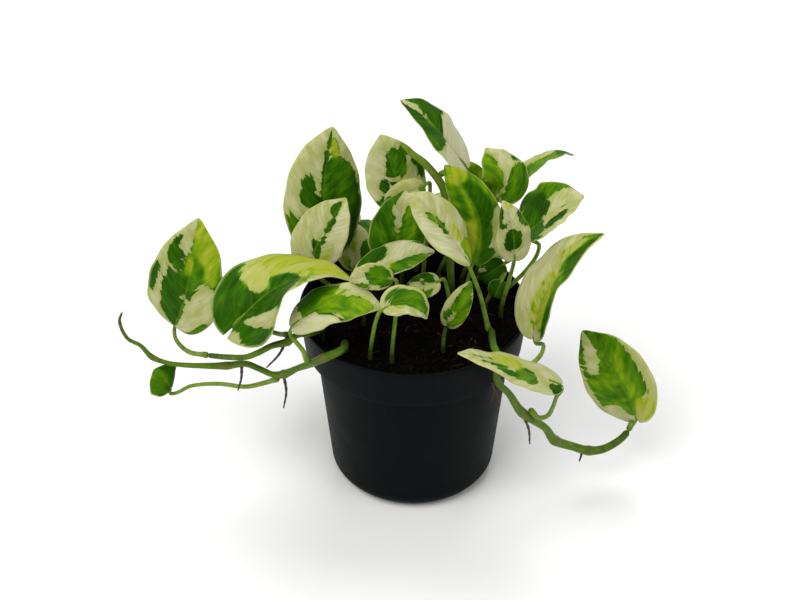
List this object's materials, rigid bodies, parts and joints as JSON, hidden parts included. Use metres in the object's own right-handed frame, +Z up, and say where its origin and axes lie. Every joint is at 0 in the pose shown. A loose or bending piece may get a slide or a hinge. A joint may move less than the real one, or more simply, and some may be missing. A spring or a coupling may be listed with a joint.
{
  "type": "potted variegated pothos plant",
  "caption": "Small potted trailing vine plant with heart-shaped cream and green leaves, peat and a round black nursery pot.",
  "frame": {"origin": "centre of the pot's flat underside, on the surface that it stands on", "axes": "+Z up along the pot's axis, +X to the right in the picture, +Y away from the camera"},
  "size_m": [0.2849, 0.1623, 0.2138],
  "materials": {
    "pot_black": "matte",
    "peat": "rough, loose fibres",
    "vine_green": "satin",
    "leaf_cream": "satin",
    "leaf_green": "satin",
    "leaf_mixed": "satin"
  },
  "bodies": {
    "root": {"pot": "pot_black", "soil": "peat", "vine_left_upper": "vine_green", "vine_left_lower": "vine_green", "vine_right": "vine_green", "shoot_tall": "vine_green", "leaf_back_left_tall": "leaf_mixed", "leaf_left_cream": "leaf_cream", "leaf_left_marbled": "leaf_green", "leaf_back_middle": "leaf_mixed", "leaf_small_folded": "leaf_mixed", "leaf_middle_wedge": "leaf_mixed", "leaf_highest": "leaf_mixed", "leaf_center_green": "leaf_green", "leaf_center_cream": "leaf_cream", "leaf_back_right": "leaf_green", "leaf_back_sliver": "leaf_green", "leaf_right_edge_on": "leaf_mixed", "leaf_right_high": "leaf_mixed", "leaf_right_disc": "leaf_cream", "leaf_right_long": "leaf_cream", "leaf_shadow_right": "leaf_green", "leaf_shadow_curled": "leaf_green", "leaf_small_upright": "leaf_mixed", "leaf_small_middle": "leaf_mixed", "leaf_front_cream": "leaf_cream", "leaf_front_small": "leaf_mixed", "leaf_front_pointed": "leaf_mixed", "leaf_front_left": "leaf_mixed", "leaf_left_big": "leaf_mixed", "leaf_far_left": "leaf_mixed", "leaf_far_left_small": "leaf_green", "leaf_front_right": "leaf_cream", "leaf_far_right": "leaf_mixed", "leaf_rear_left": "leaf_mixed", "leaf_rear_left_inner": "leaf_mixed", "leaf_rear_middle": "leaf_mixed", "leaf_rear_right_inner": "leaf_mixed", "leaf_rear_right": "leaf_mixed", "leaf_rear_low_left": "leaf_mixed", "leaf_rear_low_middle": "leaf_mixed", "leaf_rear_low_right": "leaf_mixed"}
  },
  "joints": []
}
